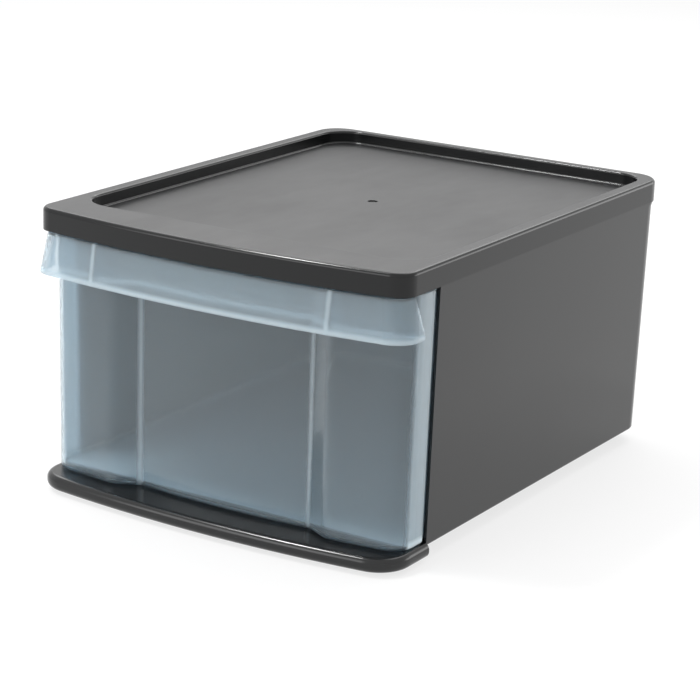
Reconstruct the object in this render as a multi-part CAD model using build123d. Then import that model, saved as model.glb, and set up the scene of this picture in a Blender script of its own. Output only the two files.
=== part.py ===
"""Stackable drawer box: an open-fronted housing, its top cover and a see-through drawer that slides out.

Millimetres. The origin is the middle of the footprint on the ground, +Z is up and the drawer opens
towards -Y.
"""

import os
from math import atan2, tan

from build123d import *

# Top cover and overall size
width = 295.0  # across the rim of the top cover
depth = 374.0  # from the line through the front corners to the back of the rim
height = 203.5
front_bow = 11.0  # how far the middle of the front edge stands proud of its corners
corner_radius_front = 14.0
corner_radius_back = 21.0
band_height = 16.0  # the band round the edge of the top cover
band_wall = 1.6
cover_wall = 2.5
rim_rounding = 3.0

# Stacking recess in the top cover
rim_side = 11.0
rim_back = 8.0
rim_front = 30.0
recess_depth = 10.0
recess_radius_front = 27.0
recess_radius_back = 22.0
recess_edge_rounding = 2.0
recess_foot_rounding = 1.5
gate_radius = 3.6  # the sunken moulding gate in the middle of the recess
gate_depth = 0.8

# Housing
body_wall = 2.5
side_inset = 0.5  # side walls behind the face of the band
back_inset = 3.5  # back wall behind the face of the band
back_slope = 3.5  # height of the slope that carries the band across the back
body_draft = 2.5  # how much further in each wall stands at its foot
body_corner_radius = 20.0
wall_setback = 43.0  # front edge of the side walls behind the front corners
wall_foot = 10.0  # lower edge of the walls above the ground
wall_foot_rounding = 2.0
tongue_wall = 1.4  # tongue of the housing inside the band of the top cover
tongue_clearance = 0.3
tongue_top_gap = 0.8
tongue_end_gap = 5.0  # from the front edge of the side walls

# Floor, nesting pan and base lip of the housing
floor_top = 13.0
floor_wall = 2.5
pan_side = 18.0  # nesting pan in from the sides of the rim
pan_back = 13.0
pan_front = 36.0
pan_radius = 18.0
pan_rounding = 2.0
back_foot_half_width = 118.0
back_foot_wall = 4.0
lip_lift = 2.5  # underside of the base lip above the ground
lip_reach = 3.0  # base lip ahead of the front edge of the rim
lip_inset = 0.5  # base lip in from the sides of the rim
lip_corner_radius = 25.0
lip_rounding = 4.6
lip_edge = 9.0  # solid edge of the lip outside its ribbed hollow
lip_rib_count = 7
lip_rib_wall = 2.0

# Drawer
drawer_wall = 2.2
drawer_floor_wall = 2.4
running_gap = 0.3  # drawer above the ledges of the housing
side_gap = 1.0  # drawer inside the housing's walls
drawer_back_radius = 17.0
front_inset_foot = 3.5  # wide front part of the drawer, in from the sides of the rim
front_inset_top = 1.4
shoulder_gap = 2.5  # wide front part ahead of the side walls
shoulder_rounding = 3.0
shoulder_overlap = 10.0  # how far the rear part runs into the wide front part
drawer_front_radius = 18.0
front_offset = 13.0  # bulges of the drawer's front behind the front edge of the rim
panel_half_width = 69.0  # recessed middle panel of the drawer's front
panel_step_run = 19.0
panel_depth = 10.0  # middle panel behind the bulges
panel_bow = 4.0
panel_inner_radius = 8.0
panel_outer_radius = 14.0
drawer_foot_rounding = 2.5
drawer_inner_rounding = 1.5

# Pull lip along the top of the drawer's front
pull_top_gap = 1.5  # below the band of the top cover
pull_height = 28.5
pull_wall = 2.2
pull_top_inset = 1.5
pull_flare = 2.5  # how far the lower edge stands outside the rim
pull_corner_radius = 18.0
pull_return_top = 14.0  # end of the pull lip on the drawer's sides, behind the front corners
pull_return_foot = 22.0
pull_rounding = 0.9
pull_rib_x = 94.0
pull_rib_wall = 3.5
pull_rib_short = 5.0  # ribs end above the lower edge of the lip

# Stops that hold the drawer when it is pulled out
drawer_travel = 302.3
stop_rib_wall = 2.5
stop_rib_drop = 3.5
stop_rib_half_width = 100.0
stop_tab_half_width = 60.0
stop_tab_engagement = 2.5

overall_depth = depth + front_bow + lip_reach
corner_y = -overall_depth / 2 + front_bow + lip_reach
back_y = overall_depth / 2
half_width = width / 2
band_bottom = height - band_height
recess_floor = height - recess_depth
cover_underside = recess_floor - cover_wall
rim_underside = height - cover_wall
wall_front_y = corner_y + wall_setback
shoulder_y = wall_front_y - shoulder_gap
pan_half_width = half_width - pan_side
drawer_foot = floor_top + running_gap
drawer_top = band_bottom - pull_top_gap
pull_foot = drawer_top - pull_height
stop_rib_foot = cover_underside - stop_rib_drop
stop_tab_y = back_y - back_inset - body_wall - side_gap - drawer_wall
stop_rib_y = stop_tab_y - drawer_travel


def slab(plan, low, high):
    return extrude(Plane.XY.offset(low) * plan, high - low)


def block(x_low, x_high, y_low, y_high, z_low, z_high):
    size = (x_high - x_low, y_high - y_low, z_high - z_low)
    return Pos(x_low, y_low, z_low) * Box(*size, align=(Align.MIN, Align.MIN, Align.MIN))


def stacked(*levels):
    """Straight-sided solid through the plans given as pairs of a plan and its height."""
    return loft([Plane.XY.offset(level) * plan for plan, level in levels], ruled=True)


def front_line(x):
    """Y of the front edge of the rim at x."""
    return corner_y - front_bow * (1 - (x / half_width) ** 2)


def rounded(face, radius, *corners):
    """The face with the corners nearest to the given points rounded."""
    chosen = [face.vertices().sort_by_distance(Vector(*corner))[0] for corner in corners]
    return fillet(chosen, radius)


def rim_plan(grow, front_radius, back_radius, half=None):
    """The outline of the rim, moved outwards by grow: straight sides and back, bowed front."""
    half = half_width + grow if half is None else half
    front = corner_y - grow
    back = back_y + grow
    edges = [
        ThreePointArc((-half, front), (0, front - front_bow), (half, front)),
        Line((half, front), (half, back)),
        Line((half, back), (-half, back)),
        Line((-half, back), (-half, front)),
    ]
    face = rounded(make_face(edges), front_radius, (half, front), (-half, front))
    return rounded(face, back_radius, (half, back), (-half, back))


def box_plan(half, front, back, front_radius, back_radius):
    """Rectangle from front to back; a front radius of 0 leaves the front corners square."""
    face = Pos(0, (front + back) / 2) * Rectangle(2 * half, back - front)
    face = rounded(face, back_radius, (half, back), (-half, back))
    if front_radius > 0:
        face = rounded(face, front_radius, (half, front), (-half, front))
    return face


def wall_lean(z):
    """How far in the housing's walls stand at height z."""
    return body_draft * (band_bottom - z) / (band_bottom - wall_foot)


def body_plan(z, inside, extra_back=0.0):
    """Outline of the housing at height z, moved inwards."""
    half = half_width - side_inset - wall_lean(z) - inside
    back = back_y - back_inset - wall_lean(z) - inside + extra_back
    return box_plan(half, wall_front_y, back, 0, body_corner_radius - inside)


def make_housing():
    slope_foot = band_bottom - back_slope
    walls = stacked(
        (body_plan(wall_foot, 0), wall_foot),
        (body_plan(slope_foot, 0), slope_foot),
        (body_plan(band_bottom, 0, back_inset - side_inset), band_bottom),
    )
    foot_edges = walls.faces().sort_by(Axis.Z)[0].edges().sort_by(Axis.Y)[1:]
    walls = fillet(foot_edges, wall_foot_rounding)
    inside = stacked(
        (body_plan(floor_top, body_wall), floor_top),
        (body_plan(band_bottom, body_wall), band_bottom),
    )

    lip_half = half_width - lip_inset
    lip = slab(rim_plan(lip_reach, lip_corner_radius, corner_radius_back, lip_half), lip_lift, floor_top)
    lip_edges = lip.faces().sort_by(Axis.Z)[0].edges() + lip.faces().sort_by(Axis.Z)[-1].edges()
    lip = fillet(lip_edges, min(lip_rounding, 0.45 * (floor_top - lip_lift)))
    lip -= block(-width, width, wall_front_y, back_y + lip_reach + 1, 0, height)
    hollow = slab(
        rim_plan(
            lip_reach - lip_edge,
            lip_corner_radius - lip_edge,
            corner_radius_back - lip_edge,
            lip_half - lip_edge,
        ),
        lip_lift,
        floor_top - floor_wall,
    )
    hollow -= block(-width, width, wall_front_y - floor_wall, back_y + 1, 0, height)
    rib_pitch = 2 * (lip_half - lip_edge) / (lip_rib_count + 1)
    for number in range(lip_rib_count):
        x = rib_pitch * (number + 1) - (lip_half - lip_edge)
        hollow -= block(x - lip_rib_wall / 2, x + lip_rib_wall / 2, -depth, depth, 0, height)
    lip -= hollow

    pan_front_y = corner_y + pan_front
    pan_back_y = back_y - pan_back
    pan = slab(box_plan(pan_half_width, pan_front_y, pan_back_y, pan_radius, pan_radius), 0, floor_top)
    pan = fillet(pan.faces().sort_by(Axis.Z)[0].edges(), pan_rounding)
    pan_inside = slab(
        box_plan(
            pan_half_width - floor_wall,
            pan_front_y + floor_wall,
            pan_back_y - floor_wall,
            pan_radius - floor_wall,
            pan_radius - floor_wall,
        ),
        floor_wall,
        floor_top,
    )
    foot_back = back_y - back_inset - body_draft - wall_foot_rounding
    foot = block(
        -back_foot_half_width,
        back_foot_half_width,
        foot_back - back_foot_wall,
        foot_back,
        lip_lift,
        floor_top,
    )

    tongue_out = band_wall + tongue_clearance
    tongue_in = tongue_out + tongue_wall
    tongue_foot = band_bottom - 1
    tongue = slab(
        rim_plan(-tongue_out, corner_radius_front - tongue_out, corner_radius_back - tongue_out),
        tongue_foot,
        rim_underside - tongue_top_gap,
    )
    tongue -= slab(
        rim_plan(-tongue_in, corner_radius_front - tongue_in, corner_radius_back - tongue_in),
        tongue_foot,
        height,
    )
    tongue -= block(-width, width, -depth, wall_front_y + tongue_end_gap, 0, height)
    return walls - inside + lip + pan + foot - pan_inside + tongue


def make_top_cover():
    outline = rim_plan(0, corner_radius_front, corner_radius_back)
    cover = slab(outline, band_bottom, height)
    cover = fillet(cover.faces().sort_by(Axis.Z)[-1].edges(), rim_rounding)
    recess_front = corner_y + rim_front
    recess_back = back_y - rim_back
    half = half_width - rim_side
    recess = slab(
        box_plan(half, recess_front, recess_back, recess_radius_front, recess_radius_back),
        recess_floor,
        height,
    )
    recess = fillet(recess.faces().sort_by(Axis.Z)[0].edges(), recess_foot_rounding)
    cover -= recess
    cover = fillet(cover.faces().sort_by(Axis.Z)[-1].inner_wires()[0].edges(), recess_edge_rounding)

    inner = rim_plan(-band_wall, corner_radius_front - band_wall, corner_radius_back - band_wall)
    well = box_plan(
        half + cover_wall,
        recess_front - cover_wall,
        recess_back + cover_wall,
        recess_radius_front + cover_wall,
        recess_radius_back + cover_wall,
    )
    cover -= slab(inner, band_bottom, cover_underside)
    cover -= slab(inner - well, cover_underside, rim_underside)
    middle_y = (recess_front + recess_back) / 2
    cover -= Pos(0, middle_y) * slab(Circle(gate_radius), recess_floor - gate_depth, recess_floor)
    cover += block(
        -stop_rib_half_width,
        stop_rib_half_width,
        stop_rib_y - stop_rib_wall,
        stop_rib_y,
        stop_rib_foot,
        cover_underside + 1,
    )
    return cover


def drawer_front_plan(z, inside):
    """Outline of the drawer's wide front part at height z, moved inwards: two bulges and a middle panel."""
    share = (z - drawer_foot) / (drawer_top - drawer_foot)
    half = half_width - front_inset_foot + share * (front_inset_foot - front_inset_top) - inside
    back = shoulder_y - inside
    bulge = front_offset + inside
    step_in = panel_half_width + inside * tan(atan2(panel_depth, panel_step_run) / 2)
    step_out = step_in + panel_step_run
    middle = (half + step_out) / 2
    corner = front_line(half) + bulge
    step_front = front_line(step_out) + bulge
    panel = step_front + panel_depth
    edges = [
        ThreePointArc((-half, corner), (-middle, front_line(middle) + bulge), (-step_out, step_front)),
        Line((-step_out, step_front), (-step_in, panel)),
        ThreePointArc((-step_in, panel), (0, panel - panel_bow), (step_in, panel)),
        Line((step_in, panel), (step_out, step_front)),
        ThreePointArc((step_out, step_front), (middle, front_line(middle) + bulge), (half, corner)),
        Line((half, corner), (half, back)),
        Line((half, back), (-half, back)),
        Line((-half, back), (-half, corner)),
    ]
    face = make_face(edges)
    face = rounded(face, panel_outer_radius - inside, (step_out, step_front), (-step_out, step_front))
    face = rounded(face, panel_inner_radius + inside, (step_in, panel), (-step_in, panel))
    face = rounded(face, drawer_front_radius - inside, (half, corner), (-half, corner))
    return rounded(face, shoulder_rounding, (half, back), (-half, back))


def drawer_rear_plan(z, inside):
    """Outline of the drawer at height z between the housing's walls, moved inwards."""
    inset = body_wall + side_gap + wall_lean(z) + inside
    half = half_width - side_inset - inset
    front = shoulder_y - shoulder_overlap
    return box_plan(half, front, back_y - back_inset - inset, 0, drawer_back_radius - inside)


def drawer_volume(low, inside, foot_rounding):
    """Solid of the drawer's outline from low to the drawer's top, with its foot rounded."""
    parts = []
    for plan in (drawer_front_plan, drawer_rear_plan):
        part = stacked((plan(low, inside), low), (plan(drawer_top, inside), drawer_top))
        parts.append(fillet(part.faces().sort_by(Axis.Z)[0].edges(), foot_rounding))
    return parts[0] + parts[1]


def pull_plan(grow):
    return rim_plan(grow, pull_corner_radius, corner_radius_back)


def make_drawer():
    tub = drawer_volume(drawer_foot, 0, drawer_foot_rounding)
    inside = drawer_volume(drawer_foot + drawer_floor_wall, drawer_wall, drawer_inner_rounding)

    skirt = stacked((pull_plan(pull_flare), pull_foot), (pull_plan(-pull_top_inset), drawer_top))
    under = stacked(
        (pull_plan(pull_flare - pull_wall), pull_foot),
        (pull_plan(-pull_top_inset - pull_wall), drawer_top),
    )
    under -= block(-width, width, -depth, depth, drawer_top - pull_wall, height)
    ribs = skirt & (
        block(
            pull_rib_x - pull_rib_wall / 2,
            pull_rib_x + pull_rib_wall / 2,
            -depth,
            front_line(pull_rib_x) + front_offset + drawer_wall / 2,
            pull_foot + pull_rib_short,
            drawer_top,
        )
    )
    ribs += mirror(ribs, Plane.YZ)
    ends = Polyline(
        (corner_y + pull_return_foot, pull_foot),
        (corner_y + pull_return_top, drawer_top),
        (back_y + depth, drawer_top),
        (back_y + depth, pull_foot),
        close=True,
    )
    behind = extrude(Plane.YZ * make_face(ends), width, both=True)
    lip = skirt - under - behind

    tab = block(
        -stop_tab_half_width,
        stop_tab_half_width,
        stop_tab_y,
        stop_tab_y + drawer_wall,
        drawer_top - 1,
        stop_rib_foot + stop_tab_engagement,
    )
    return tub + lip + ribs - inside + tab


os.makedirs("parts", exist_ok=True)
pieces = {"housing": make_housing(), "top_cover": make_top_cover(), "drawer": make_drawer()}
for name, piece in pieces.items():
    export_step(piece, f"parts/{name}.step")
    print(name, round(piece.volume), piece.bounding_box().size)
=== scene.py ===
import math

import bmesh
import bpy
from mathutils import Matrix, Vector


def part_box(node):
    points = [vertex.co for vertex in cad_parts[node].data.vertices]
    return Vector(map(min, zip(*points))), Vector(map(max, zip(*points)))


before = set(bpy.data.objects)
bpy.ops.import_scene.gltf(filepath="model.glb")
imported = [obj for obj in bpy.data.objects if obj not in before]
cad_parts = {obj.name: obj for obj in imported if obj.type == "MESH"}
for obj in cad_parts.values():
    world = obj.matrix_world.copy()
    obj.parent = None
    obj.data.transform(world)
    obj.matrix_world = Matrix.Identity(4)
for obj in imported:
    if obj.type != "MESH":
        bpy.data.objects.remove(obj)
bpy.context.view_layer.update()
millimetre = 0.001
print("frame loaded")


def linearColour(code):  # "#rrggbb" in sRGB to linear, with an alpha of 1
    shares = [int(code[at : at + 2], 16) / 255 for at in (1, 3, 5)]
    linear = [s / 12.92 if s <= 0.04045 else ((s + 0.055) / 1.055) ** 2.4 for s in shares]
    return (*linear, 1.0)


def newMaterial(name):
    material = bpy.data.materials.new(name)
    material.use_nodes = True
    return material, material.node_tree.nodes["Principled BSDF"]


# adds a node: settings go to its properties or sockets, links from other nodes' sockets to its own
def addNode(tree, kind, settings=None, links=None):
    node = tree.nodes.new(kind)
    for name, value in (settings or {}).items():
        if isinstance(name, int) or name in node.inputs:
            node.inputs[name].default_value = value
        else:
            setattr(node, name, value)
    for name, socket in (links or {}).items():
        tree.links.new(socket, node.inputs[name])
    return node


def dress(nodeName, material):
    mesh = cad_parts[nodeName].data
    mesh.materials.clear()
    mesh.materials.append(material)


polypropyleneIor = 1.49

mouldFacts = {  # shared by both black pieces, sizes in millimetres
    "cloudSpan": (0.3, 0.7),  # part of the noise that the flow marks use
    "cloudDetail": 3.0,
    "cloudBreakup": 0.5,
    "flatSpan": (0.9, 0.99),  # upward share of the normal, from a rounded edge to a flat top
    "waveSize": 6,
    "waveDetail": 2.0,
    "waveStrength": 0.1,
    "waveHeight": 0.02,
}


# black polypropylene, injection moulded in a polished steel mould with finely eroded flats: a black
# whose glossy edges catch the lamps, with faint cloudy flow marks that only show in the sheen
def blackPolypropylene(name, facts):
    material, shader = newMaterial(name)
    tree = material.node_tree
    shader.inputs["Base Color"].default_value = linearColour(facts["colour"])
    shader.inputs["IOR"].default_value = polypropyleneIor
    shader.inputs["Specular IOR Level"].default_value = facts["specularLevel"]
    coordinates = addNode(tree, "ShaderNodeTexCoord").outputs
    place = coordinates["Object"]
    stretch = addNode(tree, "ShaderNodeMapping", {"Scale": facts["flowStretch"]}, {"Vector": place})
    clouds = addNode(
        tree,
        "ShaderNodeTexNoise",
        {
            "Scale": 1 / (facts["cloudSize"] * millimetre),
            "Detail": mouldFacts["cloudDetail"],
            "Roughness": mouldFacts["cloudBreakup"],
        },
        {"Vector": stretch.outputs["Vector"]},
    )
    cloudLow, cloudHigh = mouldFacts["cloudSpan"]
    glossiest, dullest = facts["roughness"]
    sheen = addNode(
        tree,
        "ShaderNodeMapRange",
        {"From Min": cloudLow, "From Max": cloudHigh, "To Min": glossiest, "To Max": dullest},
        {"Value": clouds.outputs["Fac"]},
    )
    facing = addNode(tree, "ShaderNodeSeparateXYZ", None, {"Vector": coordinates["Normal"]})
    roundedEdge, flatTop = mouldFacts["flatSpan"]
    erosion = addNode(  # only on flats that face up, so the rounded edges stay glossy
        tree,
        "ShaderNodeMapRange",
        {"From Min": roundedEdge, "From Max": flatTop, "To Max": facts["erosion"]},
        {"Value": facing.outputs["Z"]},
    )
    roughness = addNode(
        tree,
        "ShaderNodeMath",
        {"operation": "ADD"},
        {0: sheen.outputs["Result"], 1: erosion.outputs["Result"]},
    )
    tree.links.new(roughness.outputs[0], shader.inputs["Roughness"])
    waviness = addNode(
        tree,
        "ShaderNodeTexNoise",
        {"Scale": 1 / (mouldFacts["waveSize"] * millimetre), "Detail": mouldFacts["waveDetail"]},
        {"Vector": place},
    )
    bump = addNode(
        tree,
        "ShaderNodeBump",
        {"Strength": mouldFacts["waveStrength"], "Distance": mouldFacts["waveHeight"] * millimetre},
        {"Height": waviness.outputs["Fac"]},
    )
    tree.links.new(bump.outputs["Normal"], shader.inputs["Normal"])
    return material


# translucent polypropylene with a cool tint, from a mould polished at the drawer's front and eroded
# elsewhere: a clear front that shows the dark inside, and milky walls, floor and pull lip that glow
def clearPolypropylene(facts):
    material, shader = newMaterial("translucentPolypropylene")
    tree = material.node_tree
    shader.inputs["Base Color"].default_value = linearColour(facts["colour"])
    shader.inputs["Roughness"].default_value = facts["roughness"]
    shader.inputs["IOR"].default_value = polypropyleneIor
    shader.inputs["Subsurface Weight"].default_value = facts["scatterWeight"]
    shader.inputs["Subsurface Radius"].default_value = facts["scatterShares"]
    shader.inputs["Subsurface Scale"].default_value = facts["scatterDepth"] * millimetre
    low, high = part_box("drawer")
    windowBack = low[1] + facts["windowBack"] * millimetre
    windowTop = high[2] - facts["windowTop"] * millimetre
    floorTop = low[2] + facts["floorTop"] * millimetre
    fade = facts["fade"] * millimetre
    place = addNode(tree, "ShaderNodeTexCoord").outputs["Object"]
    axes = addNode(tree, "ShaderNodeSeparateXYZ", None, {"Vector": place}).outputs
    # the front ahead of the tub is 1 and the tub 0, then the same for what lies below the pull lip
    ahead = addNode(
        tree,
        "ShaderNodeMapRange",
        {"From Min": windowBack + fade, "From Max": windowBack},
        {"Value": axes["Y"]},
    ).outputs["Result"]
    below = addNode(
        tree,
        "ShaderNodeMapRange",
        {"From Min": windowTop + fade, "From Max": windowTop},
        {"Value": axes["Z"]},
    ).outputs["Result"]
    window = addNode(
        tree, "ShaderNodeMath", {"operation": "MULTIPLY"}, {0: ahead, 1: below}
    ).outputs[0]
    lip = addNode(
        tree, "ShaderNodeMath", {"operation": "SUBTRACT"}, {0: ahead, 1: window}
    ).outputs[0]
    clearness = addNode(  # the tub: a milky floor under clearer walls
        tree,
        "ShaderNodeMapRange",
        {
            "From Min": floorTop,
            "From Max": floorTop + fade,
            "To Min": facts["floorClearness"],
            "To Max": facts["wallClearness"],
        },
        {"Value": axes["Z"]},
    ).outputs["Result"]
    # thicker plastic scatters more: the steps of the front and the ribs and lower edge of the lip
    sideways = addNode(tree, "ShaderNodeMath", {"operation": "ABSOLUTE"}, {0: axes["X"]}).outputs[0]
    stripes = []
    for along, middle, zone, thick in (
        (sideways, facts["step"]["place"] * millimetre, window, facts["step"]),
        (sideways, facts["rib"]["place"] * millimetre, lip, facts["rib"]),
        (axes["Z"], high[2] - facts["lipFoot"]["place"] * millimetre, lip, facts["lipFoot"]),
    ):
        offset = addNode(tree, "ShaderNodeMath", {"operation": "SUBTRACT", 1: middle}, {0: along})
        distance = addNode(tree, "ShaderNodeMath", {"operation": "ABSOLUTE"}, {0: offset.outputs[0]})
        near = addNode(
            tree,
            "ShaderNodeMapRange",
            {
                "interpolation_type": "SMOOTHSTEP",
                "From Min": thick["spread"] * millimetre,
                "From Max": 0.0,
            },
            {"Value": distance.outputs[0]},
        )
        stripe = addNode(
            tree, "ShaderNodeMath", {"operation": "MULTIPLY"}, {0: near.outputs["Result"], 1: zone}
        )
        stripes.append((stripe.outputs[0], thick["clearness"]))
    # each zone in turn lies over what came before it
    zones = [(ahead, facts["lipClearness"]), (window, facts["windowClearness"])] + stripes
    for share, zoneClearness in zones:
        clearness = addNode(
            tree,
            "ShaderNodeMapRange",
            {"To Max": zoneClearness},
            {"Value": share, "To Min": clearness},
        ).outputs["Result"]
    tree.links.new(clearness, shader.inputs["Transmission Weight"])
    # lamps shine through the clear places, so the inside of the drawer is lit
    lampRay = addNode(tree, "ShaderNodeLightPath").outputs["Is Shadow Ray"]
    passing = addNode(tree, "ShaderNodeMath", {"operation": "MULTIPLY"}, {0: lampRay, 1: clearness})
    seeThrough = addNode(tree, "ShaderNodeBsdfTransparent", {"Color": linearColour(facts["lampTint"])})
    both = addNode(
        tree,
        "ShaderNodeMixShader",
        None,
        {0: passing.outputs[0], 1: shader.outputs["BSDF"], 2: seeThrough.outputs["BSDF"]},
    )
    tree.links.new(both.outputs["Shader"], tree.nodes["Material Output"].inputs["Surface"])
    return material


housingFacts = {
    # a shade lighter than the cover's black: painted light that brightens the housing's side walls
    "colour": "#131415",
    "specularLevel": 0.5,
    "roughness": (0.16, 0.24),  # between the flow marks and on them
    "erosion": 0.0,  # added to the roughness of flat tops
    "cloudSize": 90,
    "flowStretch": (1.0, 1.0, 1.0),
}
dress("housing", blackPolypropylene("blackPolypropyleneHousing", housingFacts))
print("housing dressed")

coverFacts = {
    # a shade darker than the housing's black: painted shade that darkens the cover's front band
    "colour": "#0f1011",
    "specularLevel": 0.38,
    "roughness": (0.12, 0.22),
    "erosion": 0.24,
    "cloudSize": 70,
    "flowStretch": (1.6, 0.7, 1.0),  # marks drawn out from front to back
}
dress("top_cover", blackPolypropylene("blackPolypropyleneCover", coverFacts))
print("cover dressed")

drawerFacts = {  # sizes in millimetres, clearness as the share of the light that goes straight through
    "colour": "#ccdae2",
    "lampTint": "#f1f3f4",  # what a lamp's light keeps at each surface it crosses
    "roughness": 0.1,
    "scatterWeight": 1.0,
    "scatterShares": (1.0, 1.0, 1.0),
    "scatterDepth": 5,
    "floorClearness": 0.04,
    "wallClearness": 0.6,
    "lipClearness": 0.84,
    "windowClearness": 0.92,
    "windowBack": 33,  # from the foremost edge of the pull lip
    "windowTop": 36,  # below the top of the drawer's stop tab
    "floorTop": 4,  # above the drawer's foot
    "fade": 3,
    "step": {"place": 69.5, "spread": 3.4, "clearness": 0.72},  # place from the middle
    "rib": {"place": 94, "spread": 2.8, "clearness": 0.5},
    "lipFoot": {"place": 31.0, "spread": 3.5, "clearness": 0.5},  # below the top of the stop tab
}
dress("drawer", clearPolypropylene(drawerFacts))
print("drawer dressed")

studioFacts = {  # sizes in metres
    "floorSize": 12.0,
    "floorColour": "#f6f6f6",
    "floorRoughness": 0.9,
    "floorSpecularLevel": 0.1,
    "floorGlow": 0.75,  # share of plain white where the floor is seen directly
    "glowStrength": 1.0,
    "worldColour": "#ffffff",
    "worldStrength": 0.65,
    "backdropStrength": 1.0,
    "aim": (0, 0, 0.1),
}
softboxes = {
    "overheadSoftbox": {"place": (-0.5, 0.9, 1.7), "size": (2.2, 2.2), "watts": 39},
    "keySoftbox": {"place": (-0.8, -0.64, 1.8), "size": (0.25, 0.25), "watts": 18},
    "frontSoftbox": {"place": (-1.0, -2.2, 0.9), "size": (1.6, 1.2), "watts": 15},
    "rightSoftbox": {"place": (1.7, 2.3, 0.55), "size": (2.2, 1.0), "watts": 16},
}


# 1 for rays from the camera, from a mirror or through clear plastic, and 0 for the light they cast
def seenDirectly(tree):
    rays = addNode(tree, "ShaderNodeLightPath").outputs
    mirrored = addNode(
        tree,
        "ShaderNodeMath",
        {"operation": "MAXIMUM"},
        {0: rays["Is Camera Ray"], 1: rays["Is Glossy Ray"]},
    )
    seen = addNode(
        tree,
        "ShaderNodeMath",
        {"operation": "MAXIMUM"},
        {0: mirrored.outputs[0], 1: rays["Is Transmission Ray"]},
    )
    return seen.outputs[0]


# pale floor: a plain white lies over it where it is seen, so only a soft share of the shadow shows
def buildFloor(facts):
    material, shader = newMaterial("paleStudioFloor")
    tree = material.node_tree
    shader.inputs["Base Color"].default_value = linearColour(facts["floorColour"])
    shader.inputs["Roughness"].default_value = facts["floorRoughness"]
    shader.inputs["Specular IOR Level"].default_value = facts["floorSpecularLevel"]
    glow = addNode(tree, "ShaderNodeEmission", {"Strength": facts["glowStrength"]})
    share = addNode(
        tree,
        "ShaderNodeMath",
        {"operation": "MULTIPLY", 1: facts["floorGlow"]},
        {0: seenDirectly(tree)},
    )
    both = addNode(
        tree,
        "ShaderNodeMixShader",
        None,
        {0: share.outputs[0], 1: shader.outputs["BSDF"], 2: glow.outputs["Emission"]},
    )
    tree.links.new(both.outputs["Shader"], tree.nodes["Material Output"].inputs["Surface"])
    mesh = bpy.data.meshes.new("studioFloor")
    shape = bmesh.new()
    bmesh.ops.create_grid(shape, x_segments=1, y_segments=1, size=facts["floorSize"] / 2)
    shape.to_mesh(mesh)
    shape.free()
    mesh.materials.append(material)
    floor = bpy.data.objects.new("studioFloor", mesh)
    bpy.context.scene.collection.objects.link(floor)


def buildWorld(facts):
    world = bpy.data.worlds.new("softStudio")
    bpy.context.scene.world = world
    world.use_nodes = True
    tree = world.node_tree
    background = tree.nodes["Background"]
    background.inputs["Color"].default_value = linearColour(facts["worldColour"])
    strength = addNode(
        tree,
        "ShaderNodeMapRange",
        {"To Min": facts["worldStrength"], "To Max": facts["backdropStrength"]},
        {"Value": seenDirectly(tree)},
    )
    tree.links.new(strength.outputs["Result"], background.inputs["Strength"])


def addSoftbox(name, facts, aim):
    light = bpy.data.lights.new(name, "AREA")
    light.shape = "RECTANGLE"
    light.size, light.size_y = facts["size"]
    light.energy = facts["watts"]
    softbox = bpy.data.objects.new(name, light)
    bpy.context.scene.collection.objects.link(softbox)
    softbox.location = facts["place"]
    along = Vector(aim) - Vector(facts["place"])
    softbox.rotation_euler = along.to_track_quat("-Z", "Y").to_euler()


buildFloor(studioFacts)
buildWorld(studioFacts)
for softboxName, softboxFacts in softboxes.items():
    addSoftbox(softboxName, softboxFacts, studioFacts["aim"])
print("studio lit")

cameraFacts = {
    "place": (0.8606, -1.4004, 0.5722),
    "along": (-0.50368, 0.81600, -0.28363),
    "roll": 1.928,  # degrees
    "lens": 121.45,
    "sensorWidth": 36.0,
}


def placeCamera(facts):
    camera = bpy.data.cameras.new("photoCamera")
    camera.lens = facts["lens"]
    camera.sensor_width = facts["sensorWidth"]
    cameraObject = bpy.data.objects.new("photoCamera", camera)
    bpy.context.scene.collection.objects.link(cameraObject)
    turn = Vector(facts["along"]).to_track_quat("-Z", "Y").to_matrix()
    turn = turn @ Matrix.Rotation(math.radians(facts["roll"]), 3, "Z")
    cameraObject.matrix_world = Matrix.Translation(facts["place"]) @ turn.to_4x4()
    bpy.context.scene.camera = cameraObject


placeCamera(cameraFacts)
bpy.context.scene.view_settings.view_transform = "Standard"
print("camera placed")
